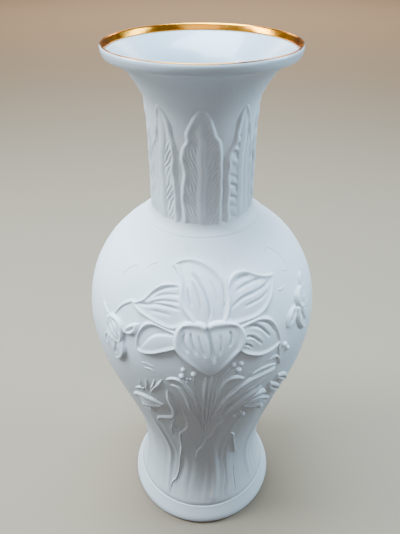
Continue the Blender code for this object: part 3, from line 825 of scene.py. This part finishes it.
# leaves: (rise, dome, left rail, right rail, creases)
SHEETS = {
    "broad_leaf_right": [
        ((0.5, 0.8, 0.7), 0.35,
         [(4.0, 104.0), (5.4, 111.0), (7.4, 118.0), (10.2, 124.7), (14.4, 130.2), (19.2, 133.8),
          (25.0, 135.4), (34.2, 135.7)],
         [(6.4, 103.5), (8.8, 110.5), (11.6, 116.4), (15.0, 121.4), (19.6, 125.6), (25.4, 128.6),
          (30.4, 131.2), (34.5, 135.2)],
         [([(6.6, 109.0), (9.4, 118.0), (13.2, 125.0), (18.6, 130.4), (26.0, 133.6)], 0.5, 0.4),
          ([(7.8, 109.6), (11.0, 117.4), (15.4, 123.6), (21.0, 128.4), (28.4, 132.2)], 0.5, 0.4),
          ([(10.0, 113.0), (13.6, 119.4), (18.4, 125.0), (24.6, 128.8)], 0.45, 0.3)]),
        ((0.5, 0.8, 0.7), 0.35,
         [(9.4, 103.6), (12.4, 111.0), (16.2, 117.6), (21.0, 122.4), (28.2, 125.8)],
         [(12.0, 103.4), (15.4, 109.8), (19.2, 114.6), (23.6, 118.8), (28.6, 125.2)],
         [([(12.0, 107.0), (15.8, 113.8), (20.4, 119.0), (25.0, 122.8)], 0.5, 0.45)])],
    "ribbed_leaf_left": [
        ((0.5, 0.8, 0.5), 0.4,
         [(-19.0, 115.0), (-23.5, 117.4), (-29.0, 118.2), (-34.0, 116.4), (-38.2, 112.2)],
         [(-19.4, 113.6), (-23.0, 110.4), (-28.0, 108.6), (-33.0, 108.6), (-38.0, 111.4)],
         [([(-20.6, 113.8), (-27.0, 113.6), (-35.0, 112.2)], 0.6, 0.8),
          ([(-23.6, 115.8), (-29.0, 115.9), (-34.6, 113.9)], 0.5, 0.5),
          ([(-24.6, 111.4), (-30.0, 110.8), (-34.6, 110.5)], 0.5, 0.5)]),
        ((0.5, 0.7, 0.4), 0.3,
         [(-27.0, 106.8), (-30.6, 108.2), (-35.4, 105.4)],
         [(-27.2, 105.0), (-30.0, 101.2), (-35.0, 103.2)],
         [([(-28.0, 105.6), (-31.0, 104.8), (-34.0, 104.4)], 0.5, 0.5)])],
    "ribbed_leaf_right": [
        ((0.9, 1.1, 0.7), 0.5,
         [(19.6, 114.8), (24.0, 117.6), (28.6, 117.6), (33.4, 114.4), (38.6, 108.6)],
         [(20.2, 113.2), (24.2, 110.0), (28.6, 107.4), (33.6, 106.0), (38.4, 106.9)],
         [([(20.8, 114.4), (27.0, 113.2), (33.0, 110.2), (37.0, 107.8)], 0.6, 0.95),
          ([(23.0, 116.0), (28.0, 115.6), (33.4, 112.2)], 0.5, 0.55),
          ([(24.0, 112.2), (29.4, 110.1), (34.4, 107.9)], 0.5, 0.55)]),
        ((0.8, 1.0, 0.6), 0.4,
         [(20.4, 116.0), (22.4, 119.8), (26.4, 122.2), (30.6, 121.8), (33.0, 118.0)],
         [(22.6, 115.8), (24.6, 118.0), (27.6, 119.2), (30.0, 118.6), (32.4, 116.4)],
         [([(23.0, 118.0), (26.6, 120.6), (30.4, 120.2)], 0.5, 0.4)]),
        ((0.7, 0.9, 0.5), 0.35,
         [(33.6, 125.0), (38.6, 121.0), (42.8, 116.0), (46.8, 110.4)],
         [(32.6, 121.4), (36.2, 116.4), (40.4, 111.6), (46.2, 109.2)],
         [([(34.4, 121.6), (38.6, 117.0), (43.6, 111.8)], 0.55, 0.8)]),
        ((0.6, 0.8, 0.4), 0.3,
         [(37.6, 127.8), (42.6, 125.4), (46.8, 121.0), (50.4, 114.6)],
         [(37.0, 124.8), (40.8, 121.0), (44.8, 116.6), (49.6, 113.4)],
         [([(39.0, 125.0), (43.0, 121.4), (47.4, 116.4)], 0.5, 0.6)])],
}

# faint marks on the shoulder and beside the petals, barely above the wall
TENDRILS = [
    [(13.6, 181.6), (14.2, 184.4), (14.0, 187.2)],
    [(17.6, 180.8), (18.2, 182.8), (18.0, 184.4)],
    [(-35.0, 179.2), (-31.8, 180.8), (-28.6, 181.6)],
    [(-14.4, 188.2), (-11.4, 186.8), (-8.8, 184.9)],
    [(46.0, 181.0), (50.0, 182.6), (54.6, 180.4), (56.0, 176.6), (53.2, 173.8), (48.8, 174.8)],
    [(41.0, 169.4), (44.0, 169.0), (46.6, 169.2)],
    [(-48.0, 173.0), (-46.0, 176.4), (-42.4, 178.4), (-39.0, 177.0)],
]
TENDRIL_WIDTHS, TENDRIL_HEIGHT = (0.8, 1.7, 0.8), 0.22
STEM_RELIEF = 0.75         # how far stems stand out, against the heights listed above


def small_petal(rise, dome, root, tip, width, bend, veins):
    """A SHEETS entry for an oval petal about a bent middle line, with creases along it."""
    axis = np.subtract(tip, root)
    side = np.array([-axis[1], axis[0]]) / np.hypot(*axis)

    def line(part, start, end, steps):
        s = np.linspace(start, end, steps)
        half = width / 2 * np.maximum(np.sin(math.pi * s) ** 0.7, 0.3 * (1 - s) + 0.05 * s)
        sideways = bend * 4 * s * (1 - s) + part * half
        return [tuple(p) for p in root + s[:, None] * axis + sideways[:, None] * side]

    creases = [(line(part, 0.2, 0.75, 3), 0.7, 0.8) for part in veins]
    return rise, dome, line(-1.0, 0.0, 1.0, 9), line(1.0, 0.0, 1.0, 9), creases


def add_growth(side, turn):
    names = sorted({*BERRIES, *STEMS, *SHEETS, *PETALS})
    for name in names:
        sheets = [*SHEETS.get(name, ()), *(small_petal(*petal) for petal in PETALS.get(name, ()))]
        shells = [leaf_sheet(left, right, rise, turn=turn, rows=90, cols=56, creases=creases,
                             side=0.8, shape=petal_shape(rim=0.3, dome=dome, cup=0.15))
                  for rise, dome, left, right, creases in sheets]
        shells += [ridge(path, widths, STEM_RELIEF * height, turn)
                   for height, widths, path in STEMS.get(name, ())]
        shells += [berry(across, up, radius, turn) for across, up, radius in BERRIES.get(name, ())]
        piece(f"{side}_{name}_relief", shells, BISQUE, f"{side}_{name}")
    marks = [ridge(path, TENDRIL_WIDTHS, TENDRIL_HEIGHT, turn) for path in TENDRILS]
    piece(f"{side}_shoulder_tendrils", marks, BISQUE)


# ------------------------------------------------------------------ camera, light, floor
# the camera stands in front of the vase and above its lip, in vase heights, and looks down
CAMERA_BACK, CAMERA_UP, CAMERA_TILT = 0.7636, 1.1399, 34.94
CAMERA_LENS, CAMERA_SHIFT = 33.57, -0.0037


def add_camera():
    height = cad_box[1].z
    data = bpy.data.cameras.new("camera")
    data.lens = CAMERA_LENS
    data.sensor_width = 36.0
    data.shift_x = CAMERA_SHIFT
    data.clip_start = 0.01
    camera = bpy.data.objects.new("camera", data)
    camera.location = (0.0, -CAMERA_BACK * height, CAMERA_UP * height)
    camera.rotation_euler = (math.radians(90 - CAMERA_TILT), 0.0, 0.0)
    bpy.context.scene.collection.objects.link(camera)
    bpy.context.scene.camera = camera


def add_light(name, place, size, watts, color, target=(0.0, 0.0, 0.15)):
    """A soft rectangular lamp that points at target, the middle of the vase if none is given."""
    data = bpy.data.lights.new(name, "AREA")
    data.shape = "RECTANGLE"
    data.size, data.size_y = size
    data.energy = watts
    data.color = color
    light = bpy.data.objects.new(name, data)
    light.location = place
    aim = Vector(target) - Vector(place)
    light.rotation_mode = "QUATERNION"
    light.rotation_quaternion = aim.to_track_quat("-Z", "Y")
    bpy.context.scene.collection.objects.link(light)


def add_stage():
    """A plain pale floor and a dim, even sky."""
    material, *_, shader = new_material("pale_floor")
    shader.inputs["Base Color"].default_value = (0.27, 0.205, 0.145, 1.0)
    shader.inputs["Roughness"].default_value = 1.0
    shader.inputs["Specular IOR Level"].default_value = 0.0
    mesh = bpy.data.meshes.new("floor")
    size = 3.0
    mesh.from_pydata([(-size, -size, 0), (size, -size, 0), (size, size, 0), (-size, size, 0)],
                     [], [(0, 1, 2, 3)])
    floor = bpy.data.objects.new("floor", mesh)
    floor.data.materials.append(material)
    bpy.context.scene.collection.objects.link(floor)
    floor.visible_diffuse = False      # the floor is seen but throws no light on the vase
    world = bpy.data.worlds.new("studio")
    bpy.context.scene.world = world
    world.use_nodes = True
    background = world.node_tree.nodes["Background"]
    background.inputs["Color"].default_value = (0.97, 0.96, 0.98, 1.0)
    background.inputs["Strength"].default_value = 0.135


add_body()
add_neck()
add_interior_glaze()
add_lip_band()
add_gilding()
add_foot()
add_neck_leaves()
for side_name, side_turn in SIDES:
    add_blossom(side_name, side_turn)
    add_growth(side_name, side_turn)

add_camera()
add_stage()
add_light("overhead", (-0.10, 0.07, 0.95), (0.60, 0.50), 32.0, (0.56, 0.81, 1.0))
add_light("left_window", (-0.62, 0.0, 0.66), (0.25, 0.45), 10.5, (0.74, 0.89, 1.0))
add_light("right_window", (0.62, 0.08, 0.55), (0.25, 0.45), 7.5, (0.48, 0.75, 1.0))
add_light("front_fill", (0.0, -0.30, 0.52), (0.30, 0.20), 0.50, (0.80, 0.90, 1.0), (0.0, 0.0, 0.2))
add_light("far_floor", (0.0, 1.9, 1.3), (2.4, 1.4), 64.0, (1.0, 0.88, 0.72), (0.0, 2.2, 0.0))
